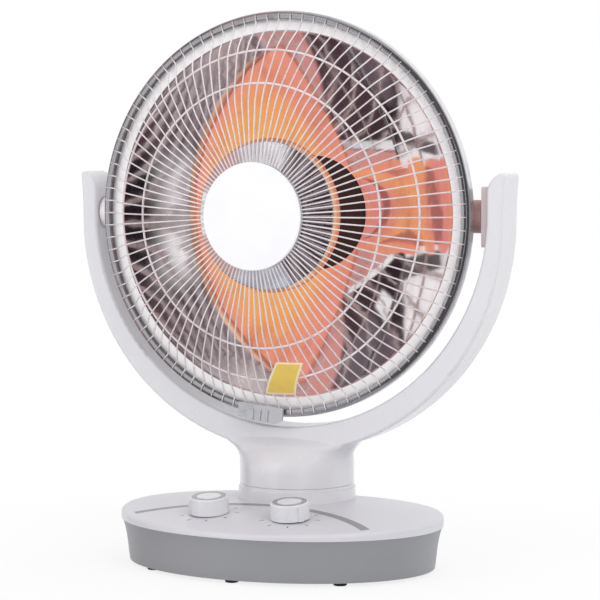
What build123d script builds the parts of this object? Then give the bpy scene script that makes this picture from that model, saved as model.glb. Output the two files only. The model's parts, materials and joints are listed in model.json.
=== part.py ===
from build123d import *
from math import asin, atan2, cos, degrees, hypot, pi, radians, sin, sqrt, tan
import os

os.makedirs("parts", exist_ok=True)

# A radiant dish heater: a round head with a wire guard, carried by a fork that turns on an oval base.
# Sizes are in millimetres. +Z is up and the head looks along -Y. The pieces are drawn about the
# column's axis, and all are moved together at the end, so that the origin lies under the middle of
# the base, on the surface that the feet stand on.

# Base
base_half_width = 166.6
base_half_depth = 126.0
base_centre_y = -37.5
foot_height = 3.5
foot_radius = 6.5
foot_inset = 11.0
foot_angles = (-90, -47, -133, 47, 133)
skirt_top = 44.6
skirt_wall = 2.5
skirt_flare = ((0.0, 0.8), (0.2, 3.5), (0.6, 6.3), (1.0, 8.3))
floor_thickness = 2.2
cover_wall = 2.6
cover_edge_fillet = 4.0
crown_height = 64.0
crown_y = -25.0
crown_radius_lengthwise = 665.0
crown_radius_crosswise = 1600.0
crown_margin = 20.0
crown_sections = 9
boss_radius = 4.5
boss_inset_x = 48.6
boss_inset_y = 88.0
ballast_inset = 62.5
ballast_thickness = 6.0
ballast_y = -25.0
grommet_radius = 7.0
grommet_bore = 3.2
grommet_height = 20.0
grommet_reach = 8.0
terminal_x = -62.0
terminal_setback = 38.0
terminal_width = 34.0
terminal_depth = 14.0
terminal_height = 12.0

# Control panel
knob_x = 43.5
knob_setback = 57.5
knob_radius = 19.2
knob_height = 17.0
knob_wall = 2.4
knob_ring_outer = 16.9
knob_ring_inner = 11.8
knob_ring_depth = 1.0
knob_gap = 0.9
nut_seat = 0.3
nut_radius = 7.6
nut_height = 2.4
knob_pointer_width = 5.0
knob_pointer_reach = 2.4
knob_shaft_radius = 3.0
control_width = 32.0
control_depth = 28.0
control_height = 21.0
control_gap = 1.2
control_bush_radius = 4.4
stripe_radius = 192.1
stripe_width = 9.6
stripe_centre_setback = 93.2
stripe_half_angle = 40.4
inlay_depth = 0.6
mark_distance = 27.5
mark_width = 1.6
mark_length = 4.6
mark_angles = (-150, -110, -70, -30, 10, 50)

# Swivel column
collar_radius = 58.8
collar_wall = 4.8
collar_top = 74.4
collar_bottom = 54.0
deck_low = 66.0
deck_thickness = 4.4
ring_height = 3.5
ring_wall = 7.5
neck_radius = 57.3
neck_shoulder = 93.5
neck_top = 125.5
neck_foot_half_width = 66.0
spindle_radius = 12.0
spindle_bore = 8.5
spindle_low = 38.5
spindle_flange_radius = 22.0
neck_floor_thickness = 4.0
retainer_radius = 20.0

# Swing drive
swing_limit = 30.0
motor_y = 30.0
motor_radius = 24.0
motor_height = 20.0
motor_shaft_radius = 3.0
crank_thickness = 3.0
crank_pin_radius = 2.5
arm_thickness = 3.0
arm_half_width = 9.0
slot_clearance = 1.3

# Tip-over switch
tip_switch_setback = 41.5
tip_switch_width = 22.0
tip_switch_depth = 17.0
tip_switch_height = 28.0
plunger_radius = 5.0
plunger_collar_radius = 6.6
plunger_collar_height = 3.0
plunger_travel = 8.0
plunger_lift = 0.2

# Fork
pivot_height = 347.5
fork_ahead = 10.0
fork_depth = 41.0
fork_wall = 2.5
fork_edge_fillet = 3.0
hoop_outer_radius = 230.0
hoop_outer_drop = 6.0
hoop_inner_radius = 213.5
hoop_inner_rise = 3.0
arm_tip_rise = 43.0
arm_tip_flare = 2.5
arm_tip_fillet = 4.0
arm_inner_rise = 25.0
fork_screw_angles = (-62, -24, 24, 62)
fork_screw_arm_rise = 20.0
fork_boss_radius = 3.6

# Tilt pivot
stub_radius = 16.0
stub_root = 170.0
journal_radius = 7.0
journal_reach = 10.0
bush_wall = 2.0
pivot_box_height = 58.0
pivot_box_depth = 32.0
pivot_box_thickness = 6.8
retaining_ring_thickness = 1.5
retaining_ring_radius = 10.5
retaining_groove_depth = 1.1

# Head, given as radii and as distances ahead of the tilt axis
rim_radius = 200.0
rim_front = 30.8
rim_depth = 14.4
rim_wall = 2.0
rim_lip = 6.5
rim_lip_thickness = 1.8
dish_mouth_radius = 181.0
dish_flange_radius = 192.5
dish_mouth = 24.0
dish_focal_length = 103.1
dish_floor_radius = 39.0
dish_hole_radius = 14.0
dish_sheet = 0.9
housing_wall = 2.2
housing_flange_inner = 186.0
housing_side = 6.0
housing_waist_radius = 160.0
housing_waist = -30.0
housing_back_radius = 84.0
housing_back = -76.0
vent_count = 16
vent_inner = 36.0
vent_outer = 74.0
vent_width = 5.0
guard_wire = 1.8
guard_ring_wire = 2.6
guard_wire_count = 96
guard_weld = 0.5
guard_route = ((36.0, 88.2), (58.0, 88.2), (118.0, 83.0), (165.0, 57.5), (187.0, 31.8), (197.3, 31.8))
guard_bends = (40.0, 60.0, 60.0, 5.0)
guard_ring_radii = (38.0, 128.7, 161.6)
badge_radius = 52.3
badge_thickness = 3.8
badge_fillet = 1.6
hub_plate_radius = 50.0
hub_plate_thickness = 3.0
clip_angle = -5.5
clip_width = 49.0
clip_foot_width = 24.0
clip_top_radius = 189.4
clip_bottom_radius = 206.0
clip_thickness = 2.6
clip_return = 22.0
clip_rib_count = 3
clip_rib_pitch = 8.0
clip_rib_width = 1.8
tag_width = 30.0
tag_height = 46.0
tag_thickness = 0.6
tag_x = 19.4
tag_rise = 8.0
tag_turn = -16.0
tag_gap = 0.1
cap_radius = 72.3
cap_front = 60.9
cap_side = 10.5
cap_flare_radius = 75.6
cap_nose = 74.0
cap_nose_radius = 30.0
cap_sheet = 1.0
socket_radius = 57.5
socket_front = -46.4
socket_edge = 0.7
core_radius = 17.0
core_neck_radius = 9.0
core_shoulder = 44.0
coil_radius = 19.4
coil_wire = 3.6
coil_turns = 14
coil_start = -44.0
coil_end = 38.0
coil_samples = 4
spacer_radius = 30.0
spacer_wall = 2.5
cutout_radius = 11.0
cutout_height = 8.0
cutout_x = 96.0

# Clearances
running_gap = 0.3
shaft_gap = 0.06
press_gap = 0.05
insert_gap = 0.3

# Fasteners
screw_radius = 1.5
screw_head_radius = 3.1
screw_head_height = 1.7

centre_low = (Align.CENTER, Align.CENTER, Align.MIN)

# Heights and places that follow from the sizes above
base_front_y = base_centre_y - base_half_depth
base_back_y = base_centre_y + base_half_depth
boss_x = base_half_width - boss_inset_x
boss_y = base_half_depth - boss_inset_y
ballast_half_width = base_half_width - ballast_inset
ballast_half_depth = base_half_depth - ballast_inset
knob_y = base_front_y + knob_setback
stripe_centre_y = base_front_y - stripe_centre_setback
tip_switch_y = base_front_y + tip_switch_setback
floor_low = foot_height
floor_top = floor_low + floor_thickness
ballast_top = floor_top + ballast_thickness
motor_top = ballast_top + motor_height
crank_low = motor_top + 1.3
crank_top = crank_low + crank_thickness
crank_throw = motor_y * tan(radians(swing_limit))
deck_top = deck_low + deck_thickness
ring_top = collar_top + ring_height
neck_bottom = ring_top + running_gap
neck_floor_top = neck_bottom + neck_floor_thickness
fork_middle_y = -fork_ahead
fork_front_y = fork_middle_y - fork_depth / 2
fork_back_y = fork_middle_y + fork_depth / 2
hoop_outer_z = pivot_height - hoop_outer_drop
hoop_inner_z = pivot_height + hoop_inner_rise
rim_back = rim_front - rim_depth
head_frame = Pos(0, fork_middle_y, pivot_height) * Rot(90, 0, 0)
wire_rest = guard_route[-1][1] - guard_wire / 2


def turned(points):
    """A solid of revolution about Z whose outline is a list of radius and height pairs."""
    return revolve(Plane.XZ * make_face(Polyline(*points, close=True)), Axis.Z)


def disc(radius, low, high, x=0.0, y=0.0):
    """A round slab about a vertical axis."""
    return Pos(x, y, low) * Cylinder(radius, high - low, align=centre_low)


def tube(outer, inner, low, high, x=0.0, y=0.0):
    """A round slab with a round hole along its axis."""
    return Pos(x, y, low) * extrude(Circle(outer) - Circle(inner), high - low)


def oval(inset, height):
    """The base's oval outline, moved in by inset, lying at a height."""
    flat = Plane(origin=(0, base_centre_y, height))
    return flat * Ellipse(base_half_width - inset, base_half_depth - inset)


def crown_z(x, y):
    """Height of the cover's crowned top at a place."""
    fall = crown_radius_lengthwise - sqrt(crown_radius_lengthwise**2 - (y - crown_y) ** 2)
    return crown_height - crown_radius_crosswise + sqrt((crown_radius_crosswise - fall) ** 2 - x**2)


def crown_slab():
    """Everything below the cover's crowned top, lofted from sections across the base."""
    front = base_front_y - crown_margin
    back = base_back_y + crown_margin
    half_width = base_half_width + crown_margin
    sections = []
    for index in range(crown_sections):
        x = half_width * (2 * index / (crown_sections - 1) - 1)
        front_top = (front, crown_z(x, front))
        back_top = (back, crown_z(x, back))
        face = make_face(
            [
                Line((front, 0), front_top),
                ThreePointArc(front_top, (crown_y, crown_z(x, crown_y)), back_top),
                Line(back_top, (back, 0)),
                Line((back, 0), (front, 0)),
            ]
        )
        sections.append(Pos(x, 0, 0) * (Plane.YZ * face))
    return loft(sections)


def under_crown(inset, drop, low):
    """Everything inside the oval that lies below the crowned top lowered by drop."""
    column = extrude(oval(inset, low), crown_height)
    return column & (Pos(0, 0, -drop) * crown_slab())


def panel_skin():
    """The top layer of the cover, as deep as an inlay."""
    return under_crown(0, 0, skirt_top) - under_crown(-2, inlay_depth, 0)


def panel_slope():
    """Slope of the cover's top at the knobs, in degrees."""
    return degrees(asin((crown_y - knob_y) / crown_radius_lengthwise))


def knob_frame(side):
    """The frame of one knob, with its origin on the cover's top and Z along the knob's axis."""
    return Pos(side * knob_x, knob_y, crown_z(knob_x, knob_y)) * Rot(panel_slope(), 0, 0)


def boss_places():
    """Centres of the four screw bosses inside the base."""
    return [(sx * boss_x, base_centre_y + sy * boss_y) for sx in (-1, 1) for sy in (-1, 1)]


def screw(length):
    """A screw along Z with its head's seat at the origin and its shank below."""
    return disc(screw_radius, -length, 0) + disc(screw_head_radius, 0, screw_head_height)


def stripe_prism():
    """A tall prism over the curved stripe of the panel."""
    start = 90 - stripe_half_angle
    inner = stripe_radius - stripe_width / 2
    outer = stripe_radius + stripe_width / 2
    corners = [
        (radius * cos(radians(angle)), stripe_centre_y + radius * sin(radians(angle)))
        for radius, angle in ((inner, start), (outer, start), (outer, 180 - start), (inner, 180 - start))
    ]
    face = make_face(
        [
            Line(corners[0], corners[1]),
            ThreePointArc(corners[1], (0, stripe_centre_y + outer), corners[2]),
            Line(corners[2], corners[3]),
            ThreePointArc(corners[3], (0, stripe_centre_y + inner), corners[0]),
        ]
    )
    return extrude(face, crown_height + 10)


def mark_prisms():
    """Tall prisms over the plain ticks around each knob."""
    prisms = []
    for side in (-1, 1):
        for angle in mark_angles:
            place = Pos(side * knob_x, knob_y, 0) * Rot(0, 0, angle) * Pos(mark_distance, 0, 0)
            prisms.append(place * Box(mark_length, mark_width, 2 * crown_height))
    return prisms


def base_pieces():
    """Cover, collar, skirt, floor, ballast, feet, inlays and the fixed parts inside the base."""
    skirt_levels = [(skirt_top - share * (skirt_top - foot_height), inset) for share, inset in skirt_flare]
    skirt = loft([oval(inset, height) for height, inset in skirt_levels])
    skirt -= loft([oval(inset + skirt_wall, height) for height, inset in skirt_levels])
    grommet_hole = Pos(0, base_back_y, grommet_height) * Rot(90, 0, 0)
    skirt -= grommet_hole * Cylinder(grommet_radius + press_gap, 4 * skirt_flare[-1][1])

    skin = panel_skin()
    stripe = stripe_prism() & skin
    marks = [prism & skin for prism in mark_prisms()]

    cover = under_crown(0, 0, skirt_top)
    cover = fillet(cover.faces().sort_by(Axis.Z)[-1].edges(), cover_edge_fillet)
    cover -= under_crown(cover_wall, cover_wall, 0)
    cover -= disc(collar_radius + press_gap, 0, 2 * crown_height)
    collar_inner = collar_radius - collar_wall
    bearing_radius = spindle_radius + shaft_gap
    collar = turned(
        [
            (collar_radius, collar_bottom),
            (collar_radius, collar_top),
            (collar_inner, collar_top),
            (collar_inner, deck_top),
            (bearing_radius, deck_top),
            (bearing_radius, deck_low),
            (collar_inner, deck_low),
            (collar_inner, collar_bottom),
        ]
    )
    for x, y in boss_places():
        cover += disc(boss_radius, floor_top, crown_height, x, y) & under_crown(1, cover_wall / 2, 0)
        cover -= disc(screw_radius + press_gap, floor_top - 1, floor_top + 18, x, y)
    for side in (-1, 1):
        cover -= knob_frame(side) * Cylinder(control_bush_radius + insert_gap, 4 * cover_wall)
    cover = cover - stripe - marks

    floor_inset = skirt_flare[-1][1] + skirt_wall + insert_gap
    floor = extrude(oval(floor_inset, floor_low), floor_thickness)
    floor -= disc(plunger_radius + insert_gap, 0, floor_top + 1, 0, tip_switch_y)
    screws = []
    for x, y in boss_places():
        floor -= disc(screw_radius + insert_gap, 0, floor_top + 1, x, y)
        floor -= disc(screw_head_radius + insert_gap, 0, floor_low + 1, x, y)
        screws.append(Pos(x, y, floor_low + 1) * Rot(180, 0, 0) * screw(14))

    feet = []
    for angle in foot_angles:
        reach_x = base_half_width - skirt_flare[-1][1] - foot_inset
        reach_y = base_half_depth - skirt_flare[-1][1] - foot_inset
        x = reach_x * cos(radians(angle))
        y = base_centre_y + reach_y * sin(radians(angle))
        foot = disc(foot_radius, 0, foot_height, x, y)
        feet.append(fillet(foot.edges().sort_by(Axis.Z)[0:1], foot_height * 0.3))

    ballast_outline = Ellipse(ballast_half_width, ballast_half_depth)
    ballast = Pos(0, ballast_y, floor_top) * extrude(ballast_outline, ballast_thickness)

    skirt_outside = base_back_y - skirt_flare[2][1]
    grommet = Pos(0, skirt_outside - 6, grommet_height) * Rot(-90, 0, 0) * turned(
        [
            (grommet_bore, 0),
            (grommet_radius, 0),
            (grommet_radius, grommet_reach),
            (grommet_radius + 2.5, grommet_reach),
            (grommet_radius + 2, grommet_reach + 2.3),
            (grommet_bore, grommet_reach + 2.3),
        ]
    )
    terminal = Pos(terminal_x, base_back_y - terminal_setback, floor_top) * Box(
        terminal_width, terminal_depth, terminal_height, align=centre_low
    )

    return {
        "base_skirt": skirt,
        "base_cover": cover,
        "deck_collar": collar,
        "base_floor": floor,
        "base_screws": Compound(screws),
        "rubber_feet": Compound(feet),
        "ballast_plate": ballast,
        "cord_grommet": grommet,
        "terminal_block": terminal,
        "panel_stripe": stripe,
        "panel_marks": Compound([solid for mark in marks for solid in mark.solids()]),
        "swivel_ring": tube(neck_radius, neck_radius - ring_wall, collar_top, ring_top),
    }


def control_pieces(side, name):
    """One rotary control: fixed body and nut under the cover, and the knob that turns."""
    frame = knob_frame(side)
    body_top = -cover_wall - control_gap
    body_low = body_top - control_height
    body = Pos(0, 0, body_low) * Box(control_width, control_depth, control_height, align=centre_low)
    body += disc(control_bush_radius, body_top - 1, nut_height + 0.2)
    body -= disc(knob_shaft_radius + shaft_gap, body_low + 3, 4)
    nut = tube(nut_radius, control_bush_radius + press_gap, nut_seat, nut_height)

    top_edge = knob_height - 1.4
    knob = turned(
        [
            (knob_shaft_radius + press_gap, 5.0),
            (knob_shaft_radius + press_gap + 2.2, 5.0),
            (knob_shaft_radius + press_gap + 2.2, knob_height - 3.2),
            (knob_radius - knob_wall, knob_height - 3.2),
            (knob_radius - knob_wall, knob_gap),
            (knob_radius, knob_gap),
            (knob_radius - 0.5, top_edge),
            (knob_radius - 1.6, knob_height),
            (knob_ring_outer, knob_height),
            (knob_ring_outer, knob_height - knob_ring_depth),
            (knob_ring_inner, knob_height - knob_ring_depth),
            (knob_ring_inner, knob_height),
            (0, knob_height),
            (0, knob_height - 2.4),
            (knob_shaft_radius + press_gap, knob_height - 2.4),
        ]
    )
    pointer = Pos(knob_radius - 1, 0, knob_gap) * Box(
        2 * knob_pointer_reach, knob_pointer_width, knob_height - 3.5, align=centre_low
    )
    knob += Rot(0, 0, -90 - side * -58) * pointer
    ring_low = knob_height - knob_ring_depth
    ring = tube(knob_ring_outer - press_gap, knob_ring_inner + press_gap, ring_low, knob_height)
    shaft = disc(knob_shaft_radius, body_low + 3.2, knob_height - 2.6)
    return {
        name + "_body": frame * body,
        name + "_nut": frame * nut,
        name + "_knob": frame * knob,
        name + "_knob_ring": frame * ring,
        name + "_shaft": frame * shaft,
    }


def swing_drive_pieces():
    """Motor with its crank, and the slotted arm on the spindle that the crank's pin swings."""
    shaft_top = crank_top
    motor = disc(motor_radius, ballast_top, motor_top, 0, motor_y)
    motor += disc(motor_shaft_radius, motor_top, shaft_top, 0, motor_y)
    crank_radius = crank_throw + crank_pin_radius + 1.5
    crank = tube(crank_radius, motor_shaft_radius + shaft_gap, crank_low, crank_top, 0, motor_y)
    pin_top = spindle_low + arm_thickness + 1
    crank += disc(crank_pin_radius, crank_top, pin_top, 0, motor_y + crank_throw)
    slot_near = hypot(motor_y, crank_throw) - 1.5
    slot_far = motor_y + crank_throw + 1.5
    arm_end = slot_far + crank_pin_radius + 6
    arm = Pos(0, arm_end / 2, spindle_low) * Box(
        2 * arm_half_width, arm_end, arm_thickness, align=centre_low
    )
    arm += disc(spindle_radius + 6, spindle_low, spindle_low + arm_thickness)
    arm -= disc(spindle_radius + press_gap, spindle_low - 1, spindle_low + arm_thickness + 1)
    slot = SlotCenterToCenter(slot_far - slot_near, 2 * (crank_pin_radius + slot_clearance))
    slot_place = Pos(0, (slot_near + slot_far) / 2, spindle_low - 1) * Rot(0, 0, 90)
    arm -= slot_place * extrude(slot, arm_thickness + 2)
    return {"swing_motor": motor, "drive_crank": crank, "drive_arm": arm}


def tip_switch_pieces():
    """Box standing on the floor plate, with the sprung plunger that the table holds up."""
    chamber_low = floor_top + 1.6
    collar_low = chamber_low + plunger_travel + 0.6
    chamber_top = collar_low + plunger_collar_height + 4
    body = Pos(0, tip_switch_y, floor_top) * Box(
        tip_switch_width, tip_switch_depth, tip_switch_height, align=centre_low
    )
    body -= disc(plunger_radius + insert_gap, 0, chamber_top, 0, tip_switch_y)
    body -= disc(plunger_collar_radius + insert_gap, chamber_low, chamber_top, 0, tip_switch_y)
    plunger = disc(plunger_radius, plunger_lift, collar_low + plunger_collar_height, 0, tip_switch_y)
    plunger += disc(plunger_collar_radius, collar_low, collar_low + plunger_collar_height, 0, tip_switch_y)
    return {"tip_switch_body": body, "tip_plunger": plunger}


def fork_face():
    """The fork's hoop and arms seen from the front."""
    edges = []
    diagonal = sqrt(0.5)
    for side in (-1, 1):
        outer_foot = (0, hoop_outer_z - hoop_outer_radius)
        outer_side = (side * hoop_outer_radius, hoop_outer_z)
        outer_mid = (side * hoop_outer_radius * diagonal, hoop_outer_z - hoop_outer_radius * diagonal)
        tip = (side * (hoop_outer_radius + arm_tip_flare), pivot_height + arm_tip_rise)
        arm_width = hoop_outer_radius - hoop_inner_radius
        brow = (side * (hoop_inner_radius + arm_width * 0.42), pivot_height + arm_tip_rise - 5)
        inner_top = (side * hoop_inner_radius, pivot_height + arm_inner_rise)
        inner_side = (side * hoop_inner_radius, hoop_inner_z)
        inner_mid = (side * hoop_inner_radius * diagonal, hoop_inner_z - hoop_inner_radius * diagonal)
        inner_foot = (0, hoop_inner_z - hoop_inner_radius)
        edges += [
            ThreePointArc(outer_foot, outer_mid, outer_side),
            TangentArc(outer_side, tip, tangent=(0, 1)),
            ThreePointArc(tip, brow, inner_top),
            Line(inner_top, inner_side),
            ThreePointArc(inner_side, inner_mid, inner_foot),
        ]
    face = make_face(edges)
    tips = face.vertices().sort_by(Axis.Y)[-4:]
    return fillet(tips, arm_tip_fillet)


def front_plane(y):
    """A plane facing the front, with its own X to the right and Y up."""
    return Plane(origin=(0, y, 0), x_dir=(1, 0, 0), z_dir=(0, -1, 0))


def neck(inset, bottom):
    """The round neck with the shoulders that lead into the hoop, moved in by inset."""
    steps = (0, 0.3, 0.6, 0.8, 1)
    foot_half_depth = fork_depth / 2 - fork_edge_fillet / 2
    sections = []
    for step in steps:
        bend = step**2
        half_width = neck_radius + (neck_foot_half_width - neck_radius) * bend - inset
        half_depth = neck_radius + (foot_half_depth - neck_radius) * bend - inset
        height = neck_shoulder + (neck_top - neck_shoulder) * step
        sections.append(Plane(origin=(0, fork_middle_y * bend, height)) * Ellipse(half_width, half_depth))
    return disc(neck_radius - inset, bottom, neck_shoulder) + loft(sections)


def fork_screw_places():
    """Centres of the fork's screws, seen from the front."""
    middle = (hoop_outer_radius + hoop_inner_radius) / 2
    level = (hoop_outer_z + hoop_inner_z) / 2
    places = [(middle * sin(radians(a)), level - middle * cos(radians(a))) for a in fork_screw_angles]
    return places + [(side * middle, pivot_height + fork_screw_arm_rise) for side in (-1, 1)]


def fork_pieces():
    """The fork's front and rear shells with their screws."""
    face = fork_face()
    hoop = extrude(front_plane(fork_back_y) * face, fork_depth)
    ends = hoop.faces().sort_by(Axis.Y)
    hoop = fillet(ends[0].edges() + ends[-1].edges(), fork_edge_fillet)
    inner_face = offset(face, -fork_wall, kind=Kind.INTERSECTION)
    cavity = extrude(front_plane(fork_back_y - fork_wall) * inner_face, fork_depth - 2 * fork_wall)
    shell = (hoop + neck(0, neck_bottom)) - (cavity + neck(fork_wall, neck_bottom - 1))
    for side in (-1, 1):
        hole = Pos(side * (hoop_inner_radius + fork_wall / 2), fork_middle_y, pivot_height) * Rot(0, 90, 0)
        shell -= hole * Cylinder(journal_radius + bush_wall + shaft_gap + press_gap, 3 * fork_wall)
    far = 1000
    front_half = Pos(0, fork_middle_y - far / 2, 0) * Box(far, far, 2 * far)
    front = shell & front_half
    rear = shell - front_half

    boss_front = fork_front_y + fork_wall / 2
    boss_back = fork_back_y - fork_wall / 2
    seat_y = fork_back_y - 2.2
    screws = []
    for x, z in fork_screw_places():
        along = Pos(x, 0, z) * Rot(90, 0, 0)
        front += along * disc(fork_boss_radius, -fork_middle_y, -boss_front)
        rear += along * disc(fork_boss_radius, -boss_back, -fork_middle_y)
        front -= along * disc(screw_radius + press_gap, -fork_middle_y - 1, -boss_front - 4)
        rear -= along * disc(screw_radius + insert_gap, -boss_back - 4, -fork_middle_y + 1)
        rear -= along * disc(screw_head_radius + insert_gap, -fork_back_y - 1, -seat_y)
        screws.append(Pos(x, seat_y, z) * Rot(-90, 0, 0) * screw(seat_y - boss_front - 6))
    return {"fork_front": front, "fork_rear": rear, "fork_screws": Compound(screws)}


def column_pieces():
    """Floor of the neck, the hollow spindle and the washer that keeps it in the deck."""
    floor_radius = neck_radius - fork_wall - insert_gap
    floor = tube(floor_radius, spindle_radius + press_gap, neck_bottom, neck_floor_top)
    flange_top = neck_floor_top + 3
    spindle = tube(spindle_radius, spindle_bore, spindle_low, flange_top)
    spindle += tube(spindle_flange_radius, spindle_bore, neck_floor_top, flange_top)
    screws = []
    for index in range(3):
        angle = radians(30 + 120 * index)
        x = (spindle_radius + 5) * cos(angle)
        y = (spindle_radius + 5) * sin(angle)
        spindle -= disc(screw_radius + insert_gap, neck_floor_top - 1, flange_top + 1, x, y)
        floor -= disc(screw_radius + press_gap, neck_bottom - 1, neck_floor_top + 1, x, y)
        screws.append(Pos(x, y, flange_top) * screw(flange_top - neck_bottom))
    retainer_top = deck_low - running_gap
    retainer = tube(retainer_radius, spindle_radius + press_gap, retainer_top - 3, retainer_top)
    return {
        "neck_floor": floor,
        "spindle": spindle,
        "spindle_screws": Compound(screws),
        "spindle_retainer": retainer,
    }


def across(x_low, x_high, outer, inner=0.0):
    """A round bar or ring about the tilt axis between two distances from the middle."""
    face = Circle(outer) - Circle(inner) if inner else Circle(outer)
    place = Pos(x_low, fork_middle_y, pivot_height) * Rot(0, 90, 0)
    return place * extrude(face, x_high - x_low)


def housing_outline():
    """Outer outline of the rear housing as edges in radius and height, from the flange to the axis."""
    side_radius = rim_radius - rim_wall - insert_gap
    side_low = dish_mouth - dish_sheet - housing_side
    return [
        Line((0, dish_mouth - dish_sheet), (side_radius, dish_mouth - dish_sheet)),
        Line((side_radius, dish_mouth - dish_sheet), (side_radius, side_low)),
        ThreePointArc(
            (side_radius, side_low),
            (housing_waist_radius, housing_waist),
            (housing_back_radius, housing_back),
        ),
        Line((housing_back_radius, housing_back), (0, housing_back)),
        Line((0, housing_back), (0, dish_mouth - dish_sheet)),
    ]


def pivot_pieces():
    """Stubs on the head, bushes and rings in the arms, and the box on the right arm."""
    housing_fill = head_frame * revolve(Plane.XZ * make_face(housing_outline()), Axis.Z)
    pieces = {}
    bushes = []
    rings = []
    arm_face = hoop_inner_radius
    arm_face_at_stub = sqrt(arm_face**2 - (stub_radius + hoop_inner_rise) ** 2)
    seats = {"left": arm_face_at_stub, "right": arm_face - pivot_box_thickness - running_gap}
    for name, seat in seats.items():
        stub_end = seat - running_gap
        journal_end = arm_face + journal_reach
        ring_low = arm_face + fork_wall + running_gap
        ring_high = ring_low + retaining_ring_thickness
        groove_radius = journal_radius - retaining_groove_depth
        stub = across(stub_root, stub_end, stub_radius) + across(stub_end, journal_end, journal_radius)
        stub -= across(ring_low, ring_high, journal_radius + 1, groove_radius)
        ring = across(ring_low, ring_high, retaining_ring_radius, groove_radius + press_gap)
        bush_outer = journal_radius + bush_wall
        bush = across(seat, arm_face + fork_wall, bush_outer, journal_radius + shaft_gap)
        if name == "left":
            stub, ring, bush = (mirror(piece, Plane.YZ) for piece in (stub, ring, bush))
        pieces["trunnion_" + name] = stub - housing_fill
        bushes.append(bush)
        rings.append(ring)
    pieces["pivot_bushes"] = Compound(bushes)
    pieces["retaining_rings"] = Compound(rings)

    opening_radius = hoop_inner_radius - press_gap
    opening = Circle(opening_radius)
    opening += Pos(0, pivot_box_height) * Rectangle(2 * opening_radius, 2 * pivot_box_height)
    inside = front_plane(fork_back_y) * (Pos(0, hoop_inner_z) * opening)
    box_low = arm_face - pivot_box_thickness
    box = Pos(arm_face, fork_middle_y, pivot_height) * Box(
        2 * pivot_box_thickness, pivot_box_depth, pivot_box_height
    )
    box = fillet(box.edges().filter_by(Axis.X), 3)
    box = box & extrude(inside, fork_depth)
    box -= across(box_low - 1, arm_face + 1, journal_radius + bush_wall + press_gap)
    pieces["pivot_box"] = box
    return pieces


def dish_point(radius):
    """Distance ahead of the tilt axis of the dish's inner surface at a radius."""
    return dish_mouth - (dish_mouth_radius**2 - radius**2) / (4 * dish_focal_length)


def dish_curve(drop):
    """The dish's parabola, lowered by drop, as a curve from the mouth to the flat floor."""
    middle = (dish_mouth_radius + dish_floor_radius) / 2
    slope = dish_mouth_radius / (2 * dish_focal_length)
    pull = dish_mouth - slope * (dish_mouth_radius - middle)
    return Bezier(
        (dish_mouth_radius, dish_mouth - drop),
        (middle, pull - drop),
        (dish_floor_radius, dish_point(dish_floor_radius) - drop),
    )


def dish_piece():
    """The reflector: a flange, a sheet curved to a parabola and a flat floor with a hole."""
    floor_level = dish_point(dish_floor_radius)
    edges = [
        dish_curve(0),
        Line((dish_floor_radius, floor_level), (dish_hole_radius, floor_level)),
        Line((dish_hole_radius, floor_level), (dish_hole_radius, floor_level - dish_sheet)),
        Line((dish_hole_radius, floor_level - dish_sheet), (dish_floor_radius, floor_level - dish_sheet)),
        dish_curve(dish_sheet),
        Line((dish_mouth_radius, dish_mouth - dish_sheet), (dish_flange_radius, dish_mouth - dish_sheet)),
        Line((dish_flange_radius, dish_mouth - dish_sheet), (dish_flange_radius, dish_mouth)),
        Line((dish_flange_radius, dish_mouth), (dish_mouth_radius, dish_mouth)),
    ]
    return revolve(Plane.XZ * make_face(edges), Axis.Z)


def housing_piece():
    """The rear housing: a bowl with a seat for the dish's flange and vent slots in its back."""
    outline = housing_outline()
    outer = revolve(Plane.XZ * make_face(outline), Axis.Z)
    side_radius = rim_radius - rim_wall - insert_gap
    seat = dish_mouth - dish_sheet
    inner_side = side_radius - housing_wall
    inner_low = seat - housing_side
    inner_back_radius = housing_back_radius - housing_wall * 0.6
    inner_back = housing_back + housing_wall
    inner = make_face(
        [
            Line((0, seat + 1), (housing_flange_inner, seat + 1)),
            Line((housing_flange_inner, seat + 1), (housing_flange_inner, seat - housing_wall)),
            Line((housing_flange_inner, seat - housing_wall), (inner_side, seat - housing_wall)),
            Line((inner_side, seat - housing_wall), (inner_side, inner_low)),
            ThreePointArc(
                (inner_side, inner_low),
                (housing_waist_radius - housing_wall * 0.7, housing_waist + housing_wall * 0.7),
                (inner_back_radius, inner_back),
            ),
            Line((inner_back_radius, inner_back), (0, inner_back)),
            Line((0, inner_back), (0, seat + 1)),
        ]
    )
    bowl = outer - revolve(Plane.XZ * inner, Axis.Z)
    slot = SlotOverall(vent_outer - vent_inner, vent_width)
    cutter = Pos((vent_inner + vent_outer) / 2, 0, housing_back - 1) * extrude(slot, housing_wall + 2)
    for index in range(vent_count):
        bowl -= Rot(0, 0, 360 * index / vent_count) * cutter
    return bowl


def guard_piece():
    """The wire guard: bent radial wires welded to three rings."""
    route = Plane.XZ * FilletPolyline(*guard_route, radius=list(guard_bends))
    start = Plane(origin=(guard_route[0][0], 0, guard_route[0][1]), z_dir=(1, 0, 0))
    wire = sweep(start * Circle(guard_wire / 2), path=route)
    wires = [Rot(0, 0, 360 * index / guard_wire_count) * wire for index in range(guard_wire_count)]
    drop = guard_wire / 2 + guard_ring_wire / 2 - guard_weld
    rings = []
    for radius in guard_ring_radii:
        point, tangent = guard_at(radius)
        ring_radius = point[0] - drop * -tangent[1]
        ring_height_here = point[1] - drop * tangent[0]
        rings.append(Pos(0, 0, ring_height_here) * Torus(ring_radius, guard_ring_wire / 2))
    return rings[0] + rings[1:] + wires


def guard_at(radius):
    """Point and direction of the guard wire's straight route at a radius."""
    for (r0, h0), (r1, h1) in zip(guard_route, guard_route[1:]):
        if r0 <= radius <= r1:
            share = (radius - r0) / (r1 - r0)
            length = hypot(r1 - r0, h1 - h0)
            return (radius, h0 + share * (h1 - h0)), ((r1 - r0) / length, (h1 - h0) / length)


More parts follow.
